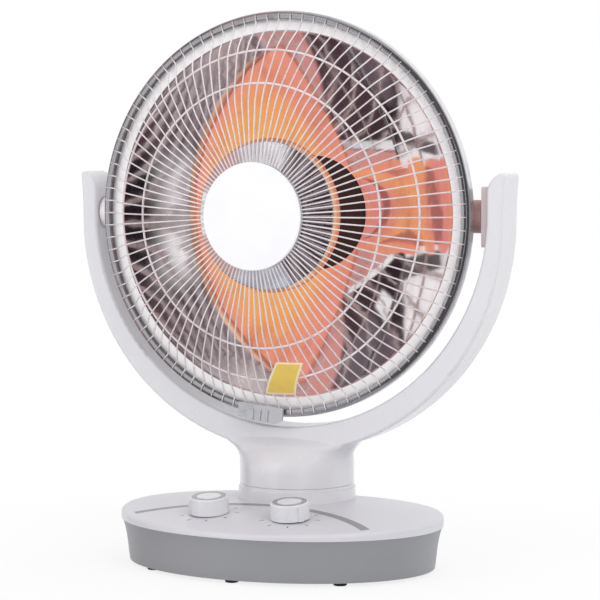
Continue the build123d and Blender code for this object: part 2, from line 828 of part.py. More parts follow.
def clip_piece():
    """The clip at the bottom of the rim: a ribbed plate that returns under the rim."""
    front_low = guard_route[-1][1] + guard_wire / 2 + press_gap
    front_high = front_low + clip_thickness
    under = rim_radius + 0.6
    plate_face = make_face(
        Polyline(
            (-clip_width / 2, -clip_top_radius),
            (clip_width / 2, -clip_top_radius),
            (clip_width / 2, -under - 1.5),
            (clip_foot_width / 2 + 4, -clip_bottom_radius),
            (-clip_foot_width / 2, -clip_bottom_radius),
            (-clip_width / 2, -under - 2.5),
            close=True,
        )
    )
    plate = Pos(0, 0, front_low) * extrude(plate_face, clip_thickness)
    returned = Pos(0, -(under + 2.2), front_high - clip_return) * Box(
        clip_foot_width, 3.2, clip_return, align=centre_low
    )
    returned -= disc(under, front_low - clip_return, front_low)
    clip = plate + returned
    for index in range(clip_rib_count):
        x = (index - (clip_rib_count - 1) / 2) * clip_rib_pitch
        clip += Pos(x, -(clip_top_radius + clip_bottom_radius + 4) / 2, front_high) * Box(
            clip_rib_width, clip_bottom_radius - clip_top_radius - 6, 1.2, align=centre_low
        )
    return Rot(0, 0, clip_angle) * clip


def tag_piece():
    """The plain tag that lies on the guard below the middle, flat against a bend of the wires."""
    (r0, h0), (r1, h1), (r2, h2) = guard_route[2:5]
    slope_in = degrees(atan2(h0 - h1, r1 - r0))
    slope_out = degrees(atan2(h1 - h2, r2 - r1))
    half_turn = radians(slope_out - slope_in) / 2
    bend_drop = guard_bends[2] * (1 / cos(half_turn) - 1)
    lift = guard_wire / 2 + tag_thickness / 2 + tag_gap - bend_drop
    lean = Rot((slope_in + slope_out) / 2, 0, 0)
    place = Pos(tag_x, -r1, h1) * lean * Pos(0, tag_rise, lift) * Rot(0, 0, tag_turn)
    return place * Box(tag_width, tag_height, tag_thickness)


def biarc(start, start_direction, end, end_direction):
    """Two arcs that join two points and keep both directions."""
    chord = end - start
    together = start_direction + end_direction
    a = 2 * (1 - start_direction.dot(end_direction))
    b = 2 * chord.dot(together)
    c = -chord.dot(chord)
    reach = (-b + sqrt(b * b - 4 * a * c)) / (2 * a)
    first = start + start_direction * reach
    second = end - end_direction * reach
    joint = (first + second) * 0.5
    return [
        TangentArc(start, joint, tangent=start_direction),
        TangentArc(joint, end, tangent=(second - first).normalized()),
    ]


def coil_piece():
    """The heating coil: one round wire wound round the core."""
    pitch = (coil_end - coil_start) / coil_turns
    turn_length = hypot(2 * pi * coil_radius, pitch)

    def place(quarter):
        angle = quarter * pi / 2
        height = coil_start + pitch * quarter / 4
        return Vector(coil_radius * cos(angle), coil_radius * sin(angle), height)

    def direction(quarter):
        angle = quarter * pi / 2
        along = 2 * pi * coil_radius / turn_length
        return Vector(-along * sin(angle), along * cos(angle), pitch / turn_length)

    arcs = []
    for quarter in range(4 * coil_turns):
        arcs += biarc(place(quarter), direction(quarter), place(quarter + 1), direction(quarter + 1))
    points = [arc @ (step / coil_samples) for arc in arcs for step in range(coil_samples)]
    half_turn = 4 * coil_samples
    nearest = min(
        (points[i] - points[j]).length for i in range(len(points)) for j in range(i + half_turn, len(points))
    )
    print("coil pitch", round(pitch, 2), "least gap to itself", round(nearest - coil_wire, 2))
    section = Plane(origin=place(0), z_dir=direction(0)) * Circle(coil_wire / 2)
    return sweep(section, path=Wire(arcs))


def head_pieces():
    """Rim, guard, reflector, element and rear housing, built about the head's own axis."""
    rim = turned(
        [
            (rim_radius, rim_front),
            (rim_radius, rim_back),
            (rim_radius - rim_wall, rim_back),
            (rim_radius - rim_wall, rim_front - rim_lip_thickness),
            (rim_radius - rim_lip, rim_front - rim_lip_thickness),
            (rim_radius - rim_lip, rim_front),
        ]
    )
    hub_wire = guard_route[0][1]
    badge_low = hub_wire + guard_wire / 2 + press_gap
    badge = disc(badge_radius, badge_low, badge_low + badge_thickness)
    badge = fillet(badge.edges().sort_by(Axis.Z)[-1:], badge_fillet)
    plate_top = hub_wire - guard_wire / 2 - press_gap
    ring_clear = guard_ring_radii[0] - guard_ring_wire
    hub_plate = disc(hub_plate_radius, plate_top - hub_plate_thickness, plate_top)
    hub_plate -= tube(ring_clear + 2 * guard_ring_wire, ring_clear, plate_top - 2.6, plate_top + 1)
    floor_level = dish_point(dish_floor_radius)
    socket = turned(
        [
            (0, socket_front),
            (socket_radius, socket_front),
            (socket_radius, socket_front - socket_edge),
            (dish_floor_radius - 0.5, floor_level + 0.2),
            (0, floor_level + 0.2),
        ]
    )
    core = turned(
        [
            (0, socket_front),
            (core_radius, socket_front),
            (core_radius, core_shoulder),
            (core_neck_radius, core_shoulder + 6),
            (core_neck_radius, cap_nose - cap_sheet - press_gap),
            (0, cap_nose - cap_sheet - press_gap),
        ]
    )
    cap = turned(
        [
            (0, cap_nose),
            (cap_nose_radius, cap_nose),
            (cap_radius, cap_front),
            (cap_flare_radius, cap_front - cap_side),
            (cap_flare_radius - cap_sheet, cap_front - cap_side),
            (cap_radius - cap_sheet, cap_front - cap_sheet * 0.7),
            (cap_nose_radius, cap_nose - cap_sheet),
            (0, cap_nose - cap_sheet),
        ]
    )
    housing_inside = housing_back + housing_wall
    spacer_top = floor_level - dish_sheet
    spacer = tube(spacer_radius, spacer_radius - spacer_wall, housing_inside, spacer_top)
    cutout_slope = degrees(atan2(cutout_x, 2 * dish_focal_length))
    cutout_seat = dish_point(cutout_x) - dish_sheet / cos(radians(cutout_slope))
    cutout_place = Pos(cutout_x, 0, cutout_seat) * Rot(0, -cutout_slope, 0)
    cutout = cutout_place * disc(cutout_radius, -cutout_height, 0)
    pieces = {
        "rim_ring": rim,
        "wire_guard": guard_piece(),
        "guard_hub_plate": hub_plate,
        "hub_badge": badge,
        "guard_clip": clip_piece(),
        "blank_tag": tag_piece(),
        "reflector_dish": dish_piece(),
        "element_socket": socket,
        "element_core": core,
        "heating_coil": coil_piece(),
        "element_cap": cap,
        "dish_spacer": spacer,
        "thermal_cutout": cutout,
        "rear_housing": housing_piece(),
    }
    return {name: head_frame * piece for name, piece in pieces.items()}


pieces = {}
pieces.update(base_pieces())
pieces.update(control_pieces(-1, "timer"))
pieces.update(control_pieces(1, "heat_switch"))
pieces.update(swing_drive_pieces())
pieces.update(tip_switch_pieces())
pieces.update(fork_pieces())
pieces.update(column_pieces())
pieces.update(pivot_pieces())
pieces.update(head_pieces())
for node, shape in pieces.items():
    export_step(Pos(0, -base_centre_y, 0) * shape, "parts/" + node + ".step")
print(len(pieces), "pieces written")
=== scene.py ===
"""The looks of a tabletop radiant dish heater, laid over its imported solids, in their frame and in metres.

Sizes in this file are millimetres until a mesh is made. The head's parts are worked out as (radius, reach):
the radius from the dish's axis, and the reach ahead of the tilt axis, towards -Y.
"""
import json

import bpy
import numpy as np
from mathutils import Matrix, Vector

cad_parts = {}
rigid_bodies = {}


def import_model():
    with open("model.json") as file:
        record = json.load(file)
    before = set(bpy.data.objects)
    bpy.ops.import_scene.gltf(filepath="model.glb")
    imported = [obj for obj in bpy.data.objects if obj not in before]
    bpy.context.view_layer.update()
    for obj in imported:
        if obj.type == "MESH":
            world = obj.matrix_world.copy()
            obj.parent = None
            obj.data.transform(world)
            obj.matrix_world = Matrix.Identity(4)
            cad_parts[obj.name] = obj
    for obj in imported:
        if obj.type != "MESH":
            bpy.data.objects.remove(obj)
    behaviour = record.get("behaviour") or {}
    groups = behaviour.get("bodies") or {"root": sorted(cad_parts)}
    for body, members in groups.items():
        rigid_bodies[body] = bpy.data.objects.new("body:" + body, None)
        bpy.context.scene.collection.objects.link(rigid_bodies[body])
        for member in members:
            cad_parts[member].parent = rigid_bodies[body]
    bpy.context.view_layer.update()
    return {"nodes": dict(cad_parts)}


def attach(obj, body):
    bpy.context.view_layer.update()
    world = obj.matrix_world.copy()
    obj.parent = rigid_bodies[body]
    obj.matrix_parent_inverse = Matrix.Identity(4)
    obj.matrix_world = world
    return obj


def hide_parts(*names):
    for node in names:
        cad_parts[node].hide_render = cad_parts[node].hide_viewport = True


for spare in list(bpy.data.objects):
    bpy.data.objects.remove(spare)

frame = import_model()

# Camera

tilt_axis_y = 27.5
tilt_axis_z = 347.5
camera_place = Vector((1.0392, -2.1343, 0.4169))
camera_target = Vector((0.0081, 0.0273, 0.2620))

camera = bpy.data.objects.new("camera", bpy.data.cameras.new("camera"))
bpy.context.scene.collection.objects.link(camera)
camera.data.lens = 144.6
camera.data.sensor_width = 36.0
camera.location = camera_place
camera.rotation_mode = "QUATERNION"
camera.rotation_quaternion = (camera_target - camera_place).to_track_quat("-Z", "Y")
bpy.context.scene.camera = camera
bpy.context.scene.view_settings.view_transform = "Standard"

# Node trees


def paint(red, green, blue):
    """A colour as a paint chart gives it, 0 to 255, as the linear colour that the shaders take."""
    share = np.array([red, green, blue]) / 255
    linear = np.where(share > 0.04045, ((share + 0.055) / 1.055) ** 2.4, share / 12.92)
    return (*(float(x) for x in linear), 1.0)


class Value:
    """A node's socket that does arithmetic: each operator adds the Math node that works it out."""

    def __init__(self, tree, socket):
        self.tree, self.socket = tree, socket

    def math(self, operation, *others):
        return self.tree.add("ShaderNodeMath", {"operation": operation}, dict(enumerate((self, *others))))

    def __add__(self, other):
        return self.math("ADD", other)

    def __mul__(self, other):
        return self.math("MULTIPLY", other)

    def __sub__(self, other):
        return self.math("SUBTRACT", other)

    def __rsub__(self, other):
        return self.tree.add("ShaderNodeMath", {"operation": "SUBTRACT"}, {0: other, 1: self})

    def __truediv__(self, other):
        return self.math("DIVIDE", other)

    def __pow__(self, other):
        return self.math("POWER", other)

    __radd__ = __add__
    __rmul__ = __mul__

    def rise(self, low, high):
        """0 below low, 1 above high, and a smooth step between them. With low above high it falls."""
        return self.tree.add("ShaderNodeMapRange", {"interpolation_type": "SMOOTHSTEP"},
                             {"Value": self, "From Min": low, "From Max": high})

    def band(self, low, high, soft):
        """1 from low to high, fading to 0 over soft at both ends."""
        return self.rise(low - soft, low) * self.rise(high + soft, high)


class Tree:
    """One node tree, and the ways to add to it."""

    def __init__(self, tree):
        self.tree = tree
        tree.nodes.clear()

    def add(self, kind, settings=None, inputs=None, output=0):
        """A new node: its settings first, then the values or links of its sockets. Gives one of its
        outputs."""
        node = self.tree.nodes.new(kind)
        for name, value in (settings or {}).items():
            if name == "stops":
                ramp = node.color_ramp
                while len(ramp.elements) < len(value):
                    ramp.elements.new(0.5)
                for element, (position, colour) in zip(ramp.elements, value):
                    element.position, element.color = position, colour
            else:
                setattr(node, name, value)
        for name, value in (inputs or {}).items():
            self.feed(node.inputs[name], value)
        return Value(self, node.outputs[output])

    def feed(self, socket, value):
        if isinstance(value, Value):
            self.tree.links.new(value.socket, socket)
        else:
            socket.default_value = value

    def mix(self, factor, first, second):
        """The first colour where the factor is 0, the second where it is 1."""
        return self.add("ShaderNodeMix", {"data_type": "RGBA"}, {0: factor, 6: first, 7: second}, output=2)

    def noise(self, size, vector, detail=2.0, roughness=0.5):
        """Cloudy noise from 0 to 1 whose blobs are about size millimetres across."""
        return self.add("ShaderNodeTexNoise", {}, {"Vector": vector, "Scale": 1000 / size, "Detail": detail,
                                                   "Roughness": roughness})


class Finish(Tree):
    """A material of one Principled shader. Constants go on the shader's own sockets."""

    def __init__(self, name, **constants):
        self.material = bpy.data.materials.new(name)
        self.material.use_nodes = True
        super().__init__(self.material.node_tree)
        self.shader = self.tree.nodes.new("ShaderNodeBsdfPrincipled")
        output = self.tree.nodes.new("ShaderNodeOutputMaterial")
        self.tree.links.new(self.shader.outputs[0], output.inputs[0])
        self.place = self.add("ShaderNodeTexCoord", output=3)
        for socket, value in constants.items():
            self.feed(self.shader.inputs[socket.replace("_", " ")], value)

    def wear(self, socket, value):
        self.feed(self.shader.inputs[socket], value)

    def axes(self):
        """The three coordinates on the piece, in millimetres."""
        scaled = self.add("ShaderNodeVectorMath", {"operation": "SCALE"}, {0: self.place, "Scale": 1000.0})
        return [self.add("ShaderNodeSeparateXYZ", {}, {0: scaled}, output=i) for i in range(3)]

    def stretched(self, x, y, z):
        """The place on the piece with its axes scaled, so that noise on it runs in streaks."""
        return self.add("ShaderNodeMapping", {}, {"Vector": self.place, "Scale": (x, y, z)})

    def reach_and_radius(self):
        """The reach ahead of the tilt axis and the radius from the dish's axis, in millimetres."""
        x, y, z = self.axes()
        up = z - tilt_axis_z
        return tilt_axis_y - y, (x * x + up * up) ** 0.5

    def spun_rings(self, radius, scale):
        """Noise that varies with the radius alone, as spinning leaves it."""
        return self.add("ShaderNodeTexNoise", {"noise_dimensions": "1D"},
                        {"W": radius, "Scale": scale, "Detail": 3.0})

    def bump(self, height, depth, strength=1.0):
        """Dents the surface by height times depth millimetres."""
        self.wear("Normal", self.add("ShaderNodeBump", {}, {"Height": height, "Distance": depth / 1000,
                                                            "Strength": strength}))


def moulded(name, colour, rough, shade=0.93, grain=0.35, grain_depth=0.012, **constants):
    """Moulded plastic: a fine even grain, a slow drift of shade, and faint handling marks that dull it in
    streaks."""
    made = Finish(name, **constants)
    drift = made.noise(60, made.place, 3.0)
    speck = made.noise(1.2, made.place, 2.0)
    dark = tuple(c * shade for c in colour[:3]) + (1.0,)
    made.wear("Base Color", made.mix(drift.rise(0.35, 0.75) * 0.6 + speck * 0.25, colour, dark))
    streak = made.noise(9, made.stretched(1.0, 4.0, 0.7), 4.0, 0.65).rise(0.56, 0.72)
    made.wear("Roughness", rough + streak * 0.05 + (speck - 0.5) * 0.08)
    made.bump(made.noise(grain, made.place, 3.0), grain_depth)
    return made


def rubbed(name, colour, rough, metallic=1.0, grain=0.5, **constants):
    """Bare or plated metal: fine grain, cloudy tarnish and dull finger marks."""
    made = Finish(name, Metallic=metallic, **constants)
    cloud = made.noise(14, made.place, 4.0, 0.6)
    fine = made.noise(grain, made.place, 2.0)
    dull = tuple(c * 0.8 for c in colour[:3]) + (1.0,)
    made.wear("Base Color", made.mix(cloud.rise(0.45, 0.75), colour, dull))
    made.wear("Roughness", rough + cloud.rise(0.5, 0.8) * 0.12 + (fine - 0.5) * 0.06)
    made.bump(fine, 0.006)
    return made


# Finishes

mouth_radius = 181.0
mouth_reach = 24.0

white_plastic = moulded("white_plastic", paint(217, 216, 219), 0.24, shade=0.97, Coat_Weight=0.4,
                        Coat_Roughness=0.07, IOR=1.5)
# Painted light: a lighter copy of the white plastic for the left stub, lifting the shade it sits in between
# rim and fork.
stub_plastic = moulded("stub_plastic", paint(240, 237, 239), 0.3, shade=0.97, IOR=1.5)
# Painted reflection: the pivot box's plastic is tinted pink, standing in for the heater's glow reflected on
# it.
glow_tinted_plastic = moulded("glow_tinted_plastic", paint(198, 184, 185), 0.3, shade=0.93, Coat_Weight=0.2,
                       Coat_Roughness=0.1, IOR=1.5)
cover_plastic = moulded("cover_plastic", paint(207, 206, 210), 0.34, shade=0.97, IOR=1.5)
skirt_plastic = moulded("skirt_plastic", paint(148, 149, 152), 0.42, shade=0.95, IOR=1.48)
dark_plastic = moulded("dark_plastic", paint(38, 39, 42), 0.5)
floor_plastic = moulded("floor_plastic", paint(120, 121, 125), 0.55)
rubber = moulded("rubber", paint(46, 46, 49), 0.8, shade=0.8, grain=0.8, grain_depth=0.05)
print_dark = moulded("print_dark", paint(116, 115, 118), 0.4, shade=0.9, grain=0.5, grain_depth=0.005)
stripe_print = moulded("stripe_print", paint(140, 139, 142), 0.38, shade=0.86, grain=0.5, grain_depth=0.006)
# Painted reflection: the right stub's steel is given a reddish-brown colour that stands in for the heater's
# glow reflected on it.
glow_tinted_stub_steel = moulded("glow_tinted_stub_steel", paint(176, 140, 137), 0.38, shade=0.8, Metallic=0.3)
ring_silver = rubbed("ring_silver", paint(168, 168, 172), 0.3, metallic=0.6)
steel = rubbed("steel", paint(186, 186, 188), 0.32)
iron = rubbed("iron", paint(84, 82, 80), 0.6, metallic=0.7)
brass = rubbed("brass", paint(196, 168, 104), 0.3)
clip_silver = rubbed("clip_silver", paint(188, 189, 193), 0.26, metallic=0.4)
housing_paint = moulded("housing_paint", paint(176, 177, 180), 0.42, shade=0.93, Metallic=0.35)
guard_chrome = rubbed("guard_chrome", paint(244, 237, 239), 0.26, metallic=0.35)
bush_plastic = moulded("bush_plastic", paint(224, 222, 216), 0.4)


def knob_finish(name):
    """The knobs' moulded plastic, with shallow flutes down the side: waves round each knob's own axis."""
    made = moulded(name, paint(216, 216, 219), 0.24, shade=0.97, Coat_Weight=0.3, Coat_Roughness=0.08)
    x, y, z = made.axes()
    across, along = x.math("ABSOLUTE") - 43.5, y + 68.5
    radius = (across * across + along * along) ** 0.5
    flutes = (across.math("ARCTAN2", along) * 24.0).math("SINE").rise(0.2, 1.0) * radius.rise(17.0, 18.4)
    made.bump(flutes * -1.0, 0.12)
    return made


def disc_finish(name):
    """The hub disc's white plastic, a fine satin, with painted shade: its side is coloured greyer than its
    face.
    """
    made = Finish(name, Coat_Weight=0.4, Coat_Roughness=0.08)
    reach, radius = made.reach_and_radius()
    speck = made.noise(0.8, made.place, 3.0)
    drift = made.noise(40, made.place, 3.0)
    face = made.mix(drift.rise(0.4, 0.8) * 0.6 + speck * 0.3, paint(241, 241, 242), paint(236, 236, 238))
    # Painted shade: the disc's side, behind its face, is coloured grey.
    made.wear("Base Color", made.mix(reach.rise(92.0, 90.6), face, paint(176, 178, 182)))
    made.wear("Roughness", 0.2 + speck * 0.06)
    made.bump(speck, 0.004)
    return made


def rim_finish(name):
    """The rim's satin silver side, with its rolled lip painted darker as a painted reflection of the dark
    room in front.
    """
    made = Finish(name, Metallic=0.9)
    reach, radius = made.reach_and_radius()
    cloud = made.noise(14, made.place, 4.0, 0.6)
    fine = made.noise(0.5, made.place, 2.0)
    silver = made.mix(cloud.rise(0.45, 0.8), paint(226, 226, 229), paint(204, 204, 208))
    lip_painted_dark = made.mix(cloud.rise(0.45, 0.8), paint(174, 174, 178), paint(154, 154, 158))
    # Painted reflection: the rolled lip is coloured darker, standing in for the dark room it mirrors.
    made.wear("Base Color", made.mix(reach.rise(25.0, 27.6), silver, lip_painted_dark))
    made.wear("Roughness", 0.2 + cloud.rise(0.5, 0.8) * 0.1 + (fine - 0.5) * 0.05)
    made.bump(fine, 0.006)
    return made


rim_silver = rim_finish("rim_silver")
knob_plastic = knob_finish("knob_plastic")
badge_plastic = disc_finish("badge_plastic")


def ceramic(name, colour):
    """Fired ceramic: a matt, slightly pitted surface with cloudy firing marks."""
    made = Finish(name)
    pits = made.noise(0.9, made.place, 4.0, 0.7)
    cloud = made.noise(12, made.place, 3.0)
    dark = tuple(c * 0.6 for c in colour[:3]) + (1.0,)
    made.wear("Base Color", made.mix(cloud, colour, dark))
    made.wear("Roughness", 0.7 + (pits - 0.5) * 0.3)
    made.bump(pits, 0.08)
    return made


def mirror(name):
    """Spun, polished aluminium: fine rings from the spinning, shallow waves in the sheet and a few dull
    smears. The flange round the mouth is left satin."""
    made = Finish(name)
    reach, radius = made.reach_and_radius()
    rings = made.spun_rings(radius, 1.3)
    waves = made.noise(38, made.place, 2.0)
    smear = made.noise(24, made.stretched(1.0, 1.0, 0.5), 4.0, 0.6)
    flange = radius.rise(mouth_radius - 0.2, mouth_radius + 0.4)
    polished = made.mix(smear.rise(0.4, 0.8), paint(246, 242, 243), paint(224, 216, 219))
    satin = made.mix(smear, paint(253, 253, 253), paint(247, 247, 248))
    made.wear("Base Color", made.mix(flange, polished, satin))
    made.wear("Roughness", 0.035 + smear.rise(0.45, 0.8) * 0.03 + rings * 0.015 + flange * 0.36)
    made.wear("Metallic", 1 - flange * 0.9)
    made.bump(rings * 0.003 + waves * 0.4, 1.0, 0.3)
    return made


def hot(name, stops, strength, unlit):
    """A surface that glows with heat: stops give the glow's colour along the reach ahead of the tilt
    axis."""
    made = Finish(name, Emission_Strength=strength)
    reach, radius = made.reach_and_radius()
    low, high = stops[0][0], stops[-1][0]
    ramp = [((place - low) / (high - low), colour) for place, colour in stops]
    speck = made.noise(2.5, made.place, 3.0)
    glow = made.add("ShaderNodeValToRGB", {"stops": ramp}, {"Fac": (reach - low) / (high - low)})
    cooler = made.mix(speck.rise(0.55, 0.85) * 0.35, glow, paint(214, 108, 86))
    made.wear("Emission Color", cooler)
    made.wear("Base Color", made.mix(speck, unlit, paint(60, 42, 36)))
    made.wear("Roughness", 0.5 + speck * 0.3)
    made.bump(speck, 0.1)
    return made


def cap_metal(name):
    """Bright pressed steel, its edge coloured tan and given a painted warm glow that stands in for the
    element's light on it.
    """
    made = Finish(name, Metallic=1.0, Emission_Strength=0.6)
    reach, radius = made.reach_and_radius()
    cloud = made.noise(20, made.place, 4.0, 0.6)
    rings = made.spun_rings(radius, 2.0)
    pressed = made.mix(cloud.rise(0.4, 0.8), paint(236, 238, 243), paint(214, 216, 223))
    # Painted light: the cap's edge is coloured tan and glows warm, standing in for the element lighting it;
    # the cap itself is no lamp.
    made.wear("Base Color", made.mix(reach.rise(60.4, 58.6), pressed, paint(176, 132, 98)))
    made.wear("Roughness", 0.08 + cloud.rise(0.4, 0.8) * 0.06 + rings * 0.04)
    edge_painted_glow = made.mix(reach.rise(57.5, 53.5), paint(222, 164, 112), paint(176, 106, 88))
    made.wear("Emission Color", made.mix(reach.rise(60.4, 58.6), (0.0, 0.0, 0.0, 1.0), edge_painted_glow))
    made.bump(rings * 0.01 + cloud * 0.2, 1.0, 0.3)
    return made


def lit_underside(name):
    """The underside of the cap as painted light: it glows, standing in for the element lighting it, yellow in
    the middle and pinker outwards.
    """
    made = Finish(name, Metallic=0.0, Emission_Strength=0.93)
    reach, radius = made.reach_and_radius()
    cloud = made.noise(16, made.place, 3.0)
    stops = [(0.0, paint(250, 184, 100)), (0.7, paint(248, 182, 100)), (0.8, paint(245, 170, 106)),
             (0.89, paint(238, 154, 124)), (1.0, paint(230, 148, 136))]
    glow = made.add("ShaderNodeValToRGB", {"stops": stops}, {"Fac": radius / 76.0})
    # Painted light: the glow here stands in for the element's light on the cap's underside.
    made.wear("Emission Color", made.mix(cloud.rise(0.5, 0.9) * 0.5, glow, paint(242, 158, 108)))
    made.wear("Base Color", made.mix(cloud, paint(90, 60, 50), paint(70, 48, 42)))
    made.wear("Roughness", 0.4 + cloud * 0.2)
    return made


dish_mirror = mirror("dish_mirror")
cap_chrome = cap_metal("cap_chrome")
cap_glow = lit_underside("cap_glow")
socket_ceramic = ceramic("socket_ceramic", paint(52, 40, 43))
coil_stops = [
    (-44, paint(222, 134, 122)), (-16, paint(224, 142, 132)), (-12, paint(228, 144, 128)),
    (-9.5, paint(232, 150, 122)), (-8.7, paint(244, 166, 104)), (-6.8, paint(234, 150, 120)),
    (38, paint(228, 138, 124)),
]
core_stops = [
    (-50, paint(214, 118, 98)), (-17.5, paint(236, 154, 110)), (-15.5, paint(224, 138, 116)),
    (-13.5, paint(160, 98, 98)), (-9, paint(150, 88, 88)), (2, paint(224, 138, 112)),
    (44, paint(222, 130, 112)), (74, paint(150, 80, 66)),
]
coil_glow = hot("coil_glow", coil_stops, 0.94, paint(70, 52, 44))
core_glow = hot("core_glow", core_stops, 0.92, paint(80, 66, 56))


def tag_print(name):
    """A plain yellow tag: a pale border along its four edges, faint waves in the film, nothing written on
    it."""
    made = Finish(name, IOR=1.5)
    x, y, z = made.axes()
    down = tilt_axis_z - 141.6 - z
    left, right = x - 16.2 + down * (23.4 / 34), 43.6 - x - down * (18.8 / 34)
    edge = down.math("MINIMUM", 34 - down).math("MINIMUM", left * 0.82).math("MINIMUM", right * 0.87)
    cloud = made.noise(7, made.place, 3.0)
    yellow = made.mix(cloud, paint(232, 202, 98), paint(220, 184, 82))
    made.wear("Base Color", made.mix(edge.rise(2.1, 1.5), yellow, paint(236, 222, 184)))
    made.wear("Roughness", 0.36 + cloud * 0.12)
    made.bump(cloud, 0.15)
    return made


tag_yellow = tag_print("tag_yellow")

# Meshes


def rounded(points, radii, steps=8):
    """A run of straight lines through the points, with each inner corner turned into an arc of its radius
    that touches both lines: the arc starts and ends at radius times the tangent of half the turn from the
    corner."""
    points = np.asarray(points, float)
    run = [points[:1]]
    for before, corner, after, radius in zip(points, points[1:], points[2:], radii):
        into, out = corner - before, after - corner
        into, out = into / np.linalg.norm(into), out / np.linalg.norm(out)
        turn = np.arccos(np.clip(into @ out, -1, 1))
        if radius <= 0 or turn < 1e-3:
            run.append(corner[None])
            continue
        bisector = (out - into) / np.linalg.norm(out - into)
        centre = corner + bisector * radius / np.cos(turn / 2)
        side = -np.sign(into[0] * out[1] - into[1] * out[0])
        angles = np.linspace(-turn / 2, turn / 2, steps + 1)
        arm = corner - centre
        arm = arm / np.linalg.norm(arm) * radius
        sine, cosine = np.sin(-side * angles)[:, None], np.cos(angles)[:, None]
        run.append(centre + arm * cosine + np.array([-arm[1], arm[0]]) * sine)
    return np.concatenate(run + [points[-1:]])


def loop(points, radii, steps=6):
    """A closed outline with rounded corners: rounded() over the points with the first two repeated at the
    end."""
    points = list(points)
    turned_round = rounded([points[-1], *points, points[0]], radii, steps)
    return turned_round[1:-1]


def faces_of(rows, columns, closed_rows, closed_columns):
    """The four-sided faces between neighbours of a grid of rows by columns, joined round where it is
    closed."""
    first = np.arange(rows if closed_rows else rows - 1)
    second = np.arange(columns if closed_columns else columns - 1)
    i, j = (a.ravel() for a in np.meshgrid(first, second, indexing="ij"))
    up, along = (i + 1) % rows, (j + 1) % columns
    near, far = i * columns, up * columns
    return np.stack([near + j, near + along, far + along, far + j], 1)


def mesh_piece(name, points, faces, finish, body, *nodes, slot=None, lids=()):
    """A mesh object from points in millimetres, with lids as faces of many corners. A closed shell whose
    volume comes out negative is turned outwards."""
    a, b, c, d = (points[faces[:, k]] for k in range(4))
    volume = np.einsum("ij,ij->", a, np.cross(b, c)) + np.einsum("ij,ij->", a, np.cross(c, d))
    faces = faces.tolist() + [list(lid) for lid in lids]
    if volume < 0:
        faces = [face[::-1] for face in faces]
    mesh = bpy.data.meshes.new(name)
    mesh.from_pydata((points / 1000).tolist(), [], faces)
    mesh.polygons.foreach_set("use_smooth", np.ones(len(faces), bool))
    mesh.materials.append(finish.material)
    mesh.update()
    piece = bpy.data.objects.new(name, mesh)
    bpy.context.scene.collection.objects.link(piece)
    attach(piece, body)
    if nodes:
        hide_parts(*nodes)
    return piece


def ahead(across, up, reach):
    """Points of the head from across, up and reach ahead of the tilt axis."""
    across, up, reach = np.broadcast_arrays(across, up, reach)
    return np.stack([across, tilt_axis_y - reach, tilt_axis_z + up], -1)


def turned(name, outline, count, finish, body, *nodes, slot=None, solid=False):
    """An outline of (radius, reach) turned round the dish's axis: across = radius cos a, up = radius sin
    a. The outline is closed, or for a solid piece it runs from near the axis to near the axis and gets a
    lid at each end."""
    outline = np.asarray(outline, float)
    angle = np.linspace(0, 2 * np.pi, count, endpoint=False)
    radius, reach = outline[:, 0][:, None], outline[:, 1][:, None]
    points = ahead(radius * np.cos(angle), radius * np.sin(angle), reach).reshape(-1, 3)
    lids = [range(count)[::-1], range(len(points) - count, len(points))] if solid else []
    faces = faces_of(len(outline), count, not solid, True)
    return mesh_piece(name, points, faces, finish, body, *nodes, slot=slot, lids=lids)


# The dish and its element

focal_length = 103.1
floor_radius = 39.0
sheet = 0.9


def dish_outline():
    """The dish's sheet: a parabola, reach = mouth - (mouth radius^2 - radius^2) / (4 focal length), its
    flat floor with the hole for the element, and the flat flange, then the same line sheet behind, back
    to the hole."""
    radius = np.linspace(floor_radius + 2.5, mouth_radius - 1.2, 90)
    bowl = np.stack([radius, mouth_reach - (mouth_radius**2 - radius**2) / (4 * focal_length)], 1)
    floor = mouth_reach - (mouth_radius**2 - floor_radius**2) / (4 * focal_length)
    front = np.concatenate([
        [[14.0, floor], [20.0, floor], [30.0, floor], [36.0, floor], [38.2, floor + 0.06],
         [40.0, floor + 0.35]],
        bowl,
        [[mouth_radius - 0.2, mouth_reach - 0.22], [mouth_radius + 1.0, mouth_reach], [184.0, mouth_reach],
         [188.0, mouth_reach], [192.2, mouth_reach], [192.5, mouth_reach - 0.3]],
    ])
    slope = np.gradient(front[:, 1], front[:, 0])
    back = front - sheet * np.stack([-slope, np.ones_like(slope)], 1) / np.hypot(1, slope)[:, None]
    back[-4:] = [[184.0, mouth_reach - sheet], [188.0, mouth_reach - sheet], [192.2, mouth_reach - sheet],
                 [192.5, mouth_reach - sheet + 0.3]]
    return np.concatenate([front, back[::-1]])


turned("mirror_dish", dish_outline(), 256, dish_mirror, "head", "reflector_dish", slot="dish_mirror")

cap_front = rounded([(6.0, 74.0), (30.0, 74.0), (72.3, 60.9), (73.4, 57.0), (75.5, 50.8)],
                    [14.0, 1.6, 6.0], 10)
cap_back = rounded([(6.0, 73.0), (29.8, 73.0), (71.4, 60.1), (72.4, 56.8), (74.5, 50.9)],
                   [14.0, 1.2, 6.0], 10)
cap_edge = [[75.35, 50.45], [74.95, 50.4], [74.6, 50.6]]
turned("element_shade", np.concatenate([cap_front, cap_edge, cap_back[::-1]]), 192, cap_chrome, "head",
       "element_cap", slot="cap_chrome", solid=True)
lining = loop([(9.6, 71.9), (29.5, 71.9), (70.6, 59.4), (74.0, 50.9), (73.4, 50.9), (70.0, 58.8),
               (29.5, 71.3), (9.6, 71.3)], [0.1, 6.0, 1.0, 0.1, 0.1, 1.0, 6.0, 0.1], 4)
turned("shade_lining", lining, 128, cap_glow, "head", slot="cap_chrome")

# The guard

wire = 1.5
ring_wire = 2.1
wire_count = 96
wire_route = rounded([(36.0, 88.2), (58.0, 88.2), (118.0, 83.0), (165.0, 57.5), (187.0, 31.8), (197.3, 31.8)],
                     [40.0, 60.0, 60.0, 5.0], 9)


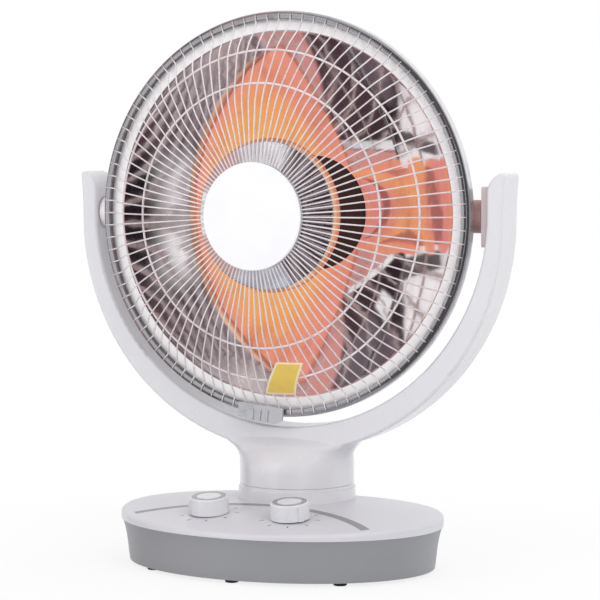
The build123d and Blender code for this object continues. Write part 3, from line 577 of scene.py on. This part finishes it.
def wires():
    """96 round wires over the dish: each follows the route in its own plane through the axis. A point is
    the route plus half a wire times (cosine of the turn round the wire along the route's own normal, sine
    of it sideways)."""
    around = np.linspace(0, 2 * np.pi, 10, endpoint=False)
    tangent = np.gradient(wire_route, axis=0)
    tangent /= np.linalg.norm(tangent, axis=1)[:, None]
    normal = np.stack([-tangent[:, 1], tangent[:, 0]], 1)
    half = np.full(len(wire_route), wire / 2)
    half[[0, -1]] = 0.55 * wire / 2
    radius = wire_route[:, 0][:, None] + normal[:, 0][:, None] * half[:, None] * np.cos(around)
    reach = wire_route[:, 1][:, None] + normal[:, 1][:, None] * half[:, None] * np.cos(around)
    sideways = half[:, None] * np.sin(around)
    stations = radius.shape[0]
    angle = (np.arange(wire_count) * 2 * np.pi / wire_count)[:, None, None]
    across = radius * np.cos(angle) - sideways * np.sin(angle)
    up = radius * np.sin(angle) + sideways * np.cos(angle)
    points = ahead(across, up, np.broadcast_to(reach, across.shape)).reshape(-1, 3)
    tube = faces_of(stations, 10, False, True)
    ends = np.array([[k, k + 1, 9 - k - 1, 9 - k] for k in range(4)])
    one = np.concatenate([tube, ends, (ends + (stations - 1) * 10)[:, ::-1]])
    return points, np.concatenate([one + k * stations * 10 for k in range(wire_count)])


mesh_piece("guard_wires", *wires(), guard_chrome, "head", "wire_guard", slot="guard_chrome")


def ring_section(radius, reach, thick, count=14):
    """A round section of a ring: radius and reach plus half the wire times cosine and sine of the turn."""
    turn = np.linspace(0, 2 * np.pi, count, endpoint=False)
    return np.stack([radius + thick / 2 * np.cos(turn), reach + thick / 2 * np.sin(turn)], 1)


for number, ring_radius in enumerate((38.0, 128.7, 161.6)):
    behind = np.interp(ring_radius, wire_route[:, 0], wire_route[:, 1])
    place = int(np.searchsorted(wire_route[:, 0], ring_radius))
    run = wire_route[place] - wire_route[place - 1]
    drop = (wire + ring_wire) / 2 - 0.5
    back_off = np.array([run[1], -run[0]]) / np.linalg.norm(run) * drop
    section = ring_section(ring_radius + back_off[0], behind + back_off[1], ring_wire)
    turned(f"guard_ring_{number}", section, 160, guard_chrome, "head", slot="guard_chrome")

# Rim, hub disc, tag

rim_section = loop([(200.0, 16.4), (200.0, 30.8), (192.0, 30.8), (192.0, 29.2), (198.0, 28.0), (198.0, 16.4)],
                   [0.5, 5.2, 0.7, 0.7, 2.0, 0.5], 12)
turned("rim_band", rim_section, 256, rim_silver, "head", "rim_ring", slot="rim_silver")


def tag_card():
    """The tag as a thin film that follows the guard: a patch between four corners (u along the top and
    bottom edge, v down the sides), each point then set on the wires' own slope, and the same patch half a
    millimetre behind."""
    u, v = np.meshgrid(np.linspace(0, 1, 25), np.linspace(0, 1, 33))
    corners = np.array([[16.2, -141.6], [43.6, -141.6], [24.8, -175.6], [-7.2, -175.6]])
    u, v = u[..., None], v[..., None]
    flat = (1 - v) * ((1 - u) * corners[0] + u * corners[1]) + v * ((1 - u) * corners[3] + u * corners[2])
    across, up = flat[..., 0], flat[..., 1]
    reach = np.interp(np.hypot(across, up), wire_route[:, 0], wire_route[:, 1]) + 1.1
    sheets = np.concatenate([ahead(across, up, reach + 0.45), ahead(across, up, reach)[::-1]])
    rows, columns = sheets.shape[:2]
    faces = faces_of(rows, columns, True, False)
    half = rows // 2
    left = np.array([[k * columns, (k + 1) * columns, (rows - 2 - k) * columns, (rows - 1 - k) * columns]
                     for k in range(half - 1)])
    return sheets.reshape(-1, 3), np.concatenate([faces, left, (left + columns - 1)[:, ::-1]])


mesh_piece("tag_card", *tag_card(), tag_yellow, "head", "blank_tag", slot="tag_yellow")
turned("hub_disc", rounded([(6.0, 92.95), (52.3, 92.95), (52.3, 86.2), (6.0, 86.2)], [1.5, 0.4], 8), 128,
       badge_plastic, "head", "hub_badge", slot="badge_plastic", solid=True)

# The neck's rounded shoulders

neck_axis_y = 37.5
neck_radius = 57.3
neck_shoulder = 93.5
neck_top = 125.5
neck_foot_half_width = 66.0
neck_foot_half_depth = 19.0
hoop_ahead = neck_axis_y - tilt_axis_y
hoop_outer_radius = 230.0
hoop_outer_z = tilt_axis_z - 6.0
hoop_inner_radius = 213.5
hoop_inner_z = tilt_axis_z + 3.0
hoop_half_depth = 20.5
hoop_edge = 3.0
blend = 16.0
blend_fade = (117.0, 130.0)
skin_sunk = 0.2


def neck_depth(x, y, z):
    """How far a point is outside the round neck, whose section turns to a flatter ellipse towards the
    hoop."""
    tall = neck_top - neck_shoulder
    narrows = neck_radius - neck_foot_half_depth
    bend = np.clip((z - neck_shoulder) / tall, 0, 1) ** 2
    wide, deep = neck_radius + (neck_foot_half_width - neck_radius) * bend, neck_radius - narrows * bend
    y = y - neck_axis_y + hoop_ahead * bend
    level = np.hypot(x / wide, y / deep)
    away = level * (level - 1) / np.maximum(np.hypot(x / wide**2, y / deep**2), 1e-9)
    slope = 2 * narrows * np.sqrt(bend) / tall * np.abs(y) / np.maximum(np.hypot(x, y), 1e-9)
    return np.maximum(away / np.hypot(1, slope), z - neck_top)


def hoop_depth(x, y, z):
    """How far a point is outside the hoop: between its two circles and its flat front and back, with its
    edges rounded."""
    outer = np.hypot(x, z - hoop_outer_z) - hoop_outer_radius
    inner = hoop_inner_radius - np.hypot(x, z - hoop_inner_z)
    across = np.maximum(outer, inner) + hoop_edge
    along = np.abs(y - tilt_axis_y) - (hoop_half_depth - hoop_edge)
    outside = np.hypot(np.maximum(across, 0), np.maximum(along, 0))
    return outside + np.minimum(np.maximum(across, along), 0) - hoop_edge


def shoulders():
    """The skin of neck and hoop together, rounded where they meet. The two distances a and b blend as
    min(a, b) - (k - |a - b|)^2 / 4k, where k fades out up the hoop. At each height and turn round the neck
    the skin lies where that is -skin_sunk, so it hides just inside the solids wherever they don't blend."""
    turn = np.linspace(0, 2 * np.pi, 240, endpoint=False)[None, :, None]
    height = np.linspace(94.0, 133.5, 56)[:, None, None]
    out = np.linspace(20.0, 125.0, 421)
    x, y = out * np.cos(turn), neck_axis_y + out * np.sin(turn)
    first, second = neck_depth(x, y, height), hoop_depth(x, y, height)
    fade = np.clip((height - blend_fade[0]) / (blend_fade[1] - blend_fade[0]), 0, 1)
    reach = blend * (1 - fade**2 * (3 - 2 * fade)) + 0.01
    overlap = np.maximum(reach - np.abs(first - second), 0)
    field = np.minimum(first, second) - overlap**2 / (4 * reach) + skin_sunk
    last = field.shape[-1] - 2 - np.argmax((field[..., :-1] < 0)[..., ::-1], -1)
    inside = np.take_along_axis(field, last[..., None], -1)[..., 0]
    outside = np.take_along_axis(field, last[..., None] + 1, -1)[..., 0]
    radius = out[last] + (out[1] - out[0]) * inside / (inside - outside)
    turn = turn[..., 0]
    across, along, up = np.broadcast_arrays(radius * np.cos(turn), neck_axis_y + radius * np.sin(turn),
                                            height[..., 0])
    rows, columns = across.shape
    lids = [range(columns)[::-1], range((rows - 1) * columns, rows * columns)]
    return np.stack([across, along, up], -1).reshape(-1, 3), faces_of(rows, columns, False, True), lids


shoulder_points, shoulder_faces, shoulder_lids = shoulders()
mesh_piece("neck_shoulders", shoulder_points, shoulder_faces, white_plastic, "column", slot="fork_plastic",
           lids=shoulder_lids)

# Finishes of the solids that stay

for finish, nodes in (
    (white_plastic, "fork_front fork_rear neck_floor deck_collar swivel_ring"),
    (glow_tinted_plastic, "pivot_box"),
    (stub_plastic, "trunnion_left"),
    (glow_tinted_stub_steel, "trunnion_right"),
    (cover_plastic, "base_cover"),
    (skirt_plastic, "base_skirt"),
    (floor_plastic, "base_floor"),
    (rubber, "rubber_feet cord_grommet"),
    (iron, "ballast_plate"),
    (dark_plastic, "terminal_block timer_body heat_switch_body tip_switch_body"),
    (stripe_print, "panel_stripe"),
    (print_dark, "panel_marks"),
    (knob_plastic, "timer_knob heat_switch_knob tip_plunger"),
    (ring_silver, "timer_knob_ring heat_switch_knob_ring"),
    (steel, "base_screws fork_screws spindle_screws timer_nut heat_switch_nut spindle spindle_retainer "
            "swing_motor drive_crank drive_arm retaining_rings guard_hub_plate dish_spacer thermal_cutout"),
    (brass, "timer_shaft heat_switch_shaft"),
    (bush_plastic, "pivot_bushes"),
    (clip_silver, "guard_clip"),
    (tag_yellow, "blank_tag"),
    (socket_ceramic, "element_socket"),
    (core_glow, "element_core"),
    (coil_glow, "heating_coil"),
    (housing_paint, "rear_housing"),
):
    for node in nodes.split():
        for held in frame["nodes"][node].material_slots:
            held.material = finish.material

# Light, floor and surroundings


def lamp(name, place, size, watts):
    """A soft square white lamp aimed at the middle of the heater. Shiny surfaces don't mirror it."""
    light = bpy.data.lights.new(name, "AREA")
    light.shape, light.size, light.energy = "SQUARE", size, watts
    holder = bpy.data.objects.new(name, light)
    bpy.context.scene.collection.objects.link(holder)
    holder.location = place
    holder.rotation_mode = "QUATERNION"
    holder.rotation_quaternion = (Vector((0, 0.02, 0.26)) - Vector(place)).to_track_quat("-Z", "Y")
    holder.visible_glossy = False


lamp("key_lamp", (2.1, -1.3, 1.7), 1.8, 27)
lamp("fill_lamp", (-1.4, -2.0, 1.0), 1.8, 16)
lamp("top_lamp", (0.1, 0.4, 2.3), 1.6, 10)


def surroundings():
    """The room: white to the camera, a soft grey to plain surfaces, brighter and slightly warm where that
    light comes by way of the mirror, and to shiny surfaces a dim plum room in front of the heater with
    white panels in it, and white behind. Turn is the compass angle from -Y towards +X."""
    world = bpy.data.worlds.new("room")
    bpy.context.scene.world = world
    world.use_nodes = True
    room = Tree(world.node_tree)
    way = room.add("ShaderNodeTexCoord", output=0)
    x, y, z = (room.add("ShaderNodeSeparateXYZ", {}, {0: way}, output=i) for i in range(3))
    turn = x.math("ARCTAN2", 0 - y) * (180 / np.pi)
    rise = z.math("ARCSINE") * (180 / np.pi)
    gaps = rise.band(8.2, 11.4, 0.8) + rise.band(-15.0, -12.9, 0.6)
    tall = turn.band(-33, -15.5, 1.6) * rise.band(-46, 48, 6) * (1 - gaps * 0.9)
    side = turn.band(-80, -46, 5) * rise.band(-9, 7, 2)
    corner = turn.band(-47, -31, 2) * rise.band(-46, 46, 8) * 0.75
    strip = turn.rise(28, 34) * turn.rise(48, 36) * rise.band(-12, 14, 24)
    behind = turn.math("ABSOLUTE").rise(94, 120)
    ceiling = rise.rise(60, 68) * 0.7
    upper, lower = rise + turn * 0.29 + 44.4, rise - turn * 0.9 - 78
    streaks = (upper.band(-0.8, 1.0, 1.0) * turn.band(-86, -46, 4)
               + lower.band(-1.2, 0.8, 1.2) * turn.band(-74, -56, 3)
               + turn.band(-95, -75, 3) * rise.band(22, 26, 1.5)) * 0.85
    panels = (tall + side + corner + strip + behind + ceiling + streaks).math("MINIMUM", 1.0)
    far_warm = (rise - (turn + 56) * 0.5).band(-70, -48, 3) + (rise + (turn + 60) * 0.5).band(38, 66, 3)
    near_warm = upper.rise(1.2, 2.6) * rise.rise(-8, -10) + lower.rise(-1.0, -2.6) * rise.rise(7, 9)
    warm = turn.band(-90, -50, 6) * (far_warm + near_warm)
    gloom = room.mix(rise.math("ABSOLUTE").rise(12, 40), paint(48, 36, 41), paint(76, 58, 64))
    lilac = (turn.band(-11, -1, 3) * rise.math("ABSOLUTE").band(20, 27, 2)
             + turn.band(-95, -75, 4) * rise.band(30, 44, 3))
    gloom = room.mix(lilac.math("MINIMUM", 1.0), gloom, paint(108, 97, 103))
    gloom = room.mix(turn.rise(41, 47) * rise.band(-16, 16, 14), gloom, paint(32, 26, 32))
    gloom = room.mix(warm.math("MINIMUM", 1.0), gloom, paint(212, 148, 140))
    panel = room.mix(rise.rise(-18, -34), (1.0, 1.0, 1.0, 1.0), paint(196, 204, 214))
    shiny = room.mix(panels, gloom, panel)
    soft = room.mix(rise.rise(-30, 70), paint(196, 196, 199), paint(230, 230, 233))
    through_dish = (1.12, 1.03, 1.0, 1.0)
    light_path = {name: room.add("ShaderNodeLightPath", output=name) for name in
                  ("Is Camera Ray", "Is Glossy Ray", "Is Transmission Ray", "Diffuse Depth")}
    mirrored = (light_path["Is Glossy Ray"] + light_path["Is Transmission Ray"]).math("MINIMUM", 1.0)
    lit = room.mix(mirrored, soft, through_dish)
    seen = room.mix(mirrored * light_path["Diffuse Depth"].math("LESS_THAN", 0.5), lit, shiny)
    colour = room.mix(light_path["Is Camera Ray"], seen, (1.0, 1.0, 1.0, 1.0))
    background = room.add("ShaderNodeBackground", {}, {"Color": colour, "Strength": 1.0})
    output = room.tree.nodes.new("ShaderNodeOutputWorld")
    room.tree.links.new(background.socket, output.inputs[0])


def floor():
    """A wide pale disc under the feet: a ring of radius r at every step, closed at its middle. It glows
    white to the camera in part, so that the shadow still shows, and wholly so far out, where it meets the
    white room. Shiny surfaces see through it to the room."""
    ring = np.linspace(0, 2 * np.pi, 96, endpoint=False)
    radius = np.array([1.0, 300.0, 700.0, 1500.0, 4000.0])[:, None]
    points = np.stack(np.broadcast_arrays(radius * np.cos(ring), radius * np.sin(ring), 0.0), -1)
    points = points.reshape(-1, 3)
    mesh = bpy.data.meshes.new("floor")
    mesh.from_pydata((points / 1000).tolist(), [], faces_of(5, 96, False, True).tolist() + [list(range(96))])
    made = bpy.data.objects.new("floor", mesh)
    bpy.context.scene.collection.objects.link(made)
    material = bpy.data.materials.new("floor_paper")
    material.use_nodes = True
    tree = Tree(material.node_tree)
    place = tree.add("ShaderNodeTexCoord", output=3)
    x, y = (tree.add("ShaderNodeSeparateXYZ", {}, {0: place}, output=i) for i in (0, 1))
    far = ((x * x + y * y) ** 0.5).rise(0.25, 0.6)
    mottle = tree.noise(4, place, 3.0)
    paper = tree.add("ShaderNodeBsdfDiffuse", {}, {"Color": tree.mix(mottle * 0.2, paint(240, 240, 240),
                                                                    paint(232, 232, 232))})
    camera_sees = tree.add("ShaderNodeLightPath", output="Is Camera Ray")
    shiny_sees = tree.add("ShaderNodeLightPath", output="Is Glossy Ray")
    white = tree.add("ShaderNodeEmission", {}, {"Color": (1.0, 1.0, 1.0, 1.0), "Strength": 1.0})
    clear = tree.add("ShaderNodeBsdfTransparent")
    share = camera_sees * (0.82 + far * 0.18)
    mixed = tree.add("ShaderNodeMixShader", {}, {0: share, 1: paper, 2: white})
    both = tree.add("ShaderNodeMixShader", {}, {0: shiny_sees, 1: mixed, 2: clear})
    output = tree.tree.nodes.new("ShaderNodeOutputMaterial")
    tree.tree.links.new(both.socket, output.inputs[0])
    mesh.materials.append(material)


surroundings()
floor()
